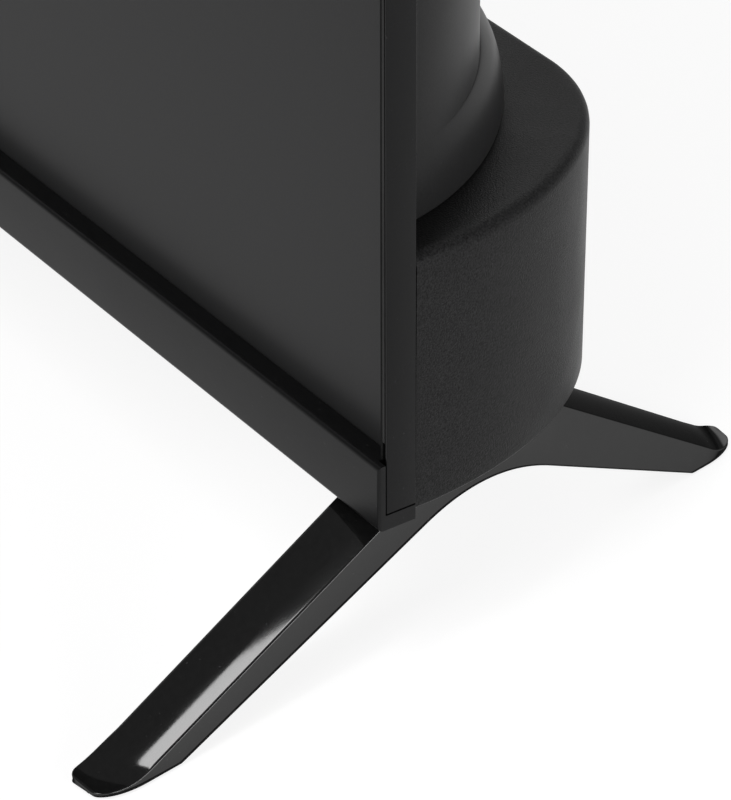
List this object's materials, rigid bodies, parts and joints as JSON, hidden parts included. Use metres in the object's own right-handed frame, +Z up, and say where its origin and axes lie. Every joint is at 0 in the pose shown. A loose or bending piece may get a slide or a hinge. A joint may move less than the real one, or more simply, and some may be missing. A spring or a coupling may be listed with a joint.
{
  "type": "television",
  "caption": "Flat screen television with a slim frame, a bottom bezel bar, a smooth domed rear cover over a textured lower housing, and two splayed boomerang feet.",
  "frame": {"origin": "on the table under the middle of the set, the bottom centre of its box", "axes": "+X to the right as the viewer faces the screen, +Y to the back of the set, +Z up"},
  "size_m": [0.7218, 0.2024, 0.4634],
  "materials": {
    "screen_glass": "semi-gloss dark panel",
    "bezel_plastic": "satin charcoal, finely brushed",
    "strip_paint": "satin black",
    "cover_plastic": "smooth satin black",
    "housing_plastic": "fine grained matte black",
    "foot_gloss": "gloss black",
    "pad_rubber": "matte black",
    "inner_plastic": "matte black",
    "film_white": "matte white",
    "bar_white": "white",
    "lens_clear": "clear moulded",
    "zinc_steel": "zinc plated",
    "dark_steel": "black zinc",
    "board_green": "green solder mask",
    "heatsink_metal": "extruded",
    "socket_metal": "nickel plated",
    "coil_brown": "varnished",
    "wire_sleeve": "matte",
    "cone_paper": "coated paper",
    "window_tint": "dark tinted"
  },
  "bodies": {
    "tv": {"screen_panel": "screen_glass", "panel_frame": "inner_plastic", "optical_films": "film_white", "diffuser_plate": "film_white", "reflector_sheet": "film_white", "led_bars": "bar_white", "led_lenses": "lens_clear", "back_chassis": "zinc_steel", "source_board": "board_green", "bottom_bezel": "bezel_plastic", "side_frame_left": "strip_paint", "side_frame_right": "strip_paint", "top_frame": "strip_paint", "upper_rear_cover": "cover_plastic", "rear_housing": "housing_plastic", "cover_screws": "dark_steel", "housing_screws": "dark_steel", "wall_mount_posts": "zinc_steel", "socket_bay": "inner_plastic", "inlet_bay": "inner_plastic", "main_board": "board_green", "main_heatsink": "heatsink_metal", "tuner_can": "socket_metal", "video_sockets": "socket_metal", "data_socket": "socket_metal", "network_socket": "socket_metal", "aerial_socket": "socket_metal", "audio_jack": "inner_plastic", "power_board": "board_green", "power_transformer": "coil_brown", "power_capacitors": "inner_plastic", "power_heatsink": "heatsink_metal", "ac_inlet": "inner_plastic", "board_screws": "zinc_steel", "panel_ribbon": "film_white", "led_cable": "wire_sleeve", "speaker_wires": "wire_sleeve", "speaker_box_left": "inner_plastic", "speaker_box_right": "inner_plastic", "speaker_cone_left": "cone_paper", "speaker_cone_right": "cone_paper", "ir_window": "window_tint", "ir_board": "board_green", "key_switch": "inner_plastic", "foot_left": "foot_gloss", "foot_right": "foot_gloss", "foot_pads": "pad_rubber", "foot_brackets": "zinc_steel", "foot_screws": "dark_steel"},
    "button": {"power_button": "bezel_plastic"}
  },
  "joints": [
    {"name": "power_button_press", "type": "slide", "parent": "tv", "child": "button", "axis": [0, 0, 1], "range_m": [0, 0.0008], "stiffness_N_per_m": 800}
  ]
}
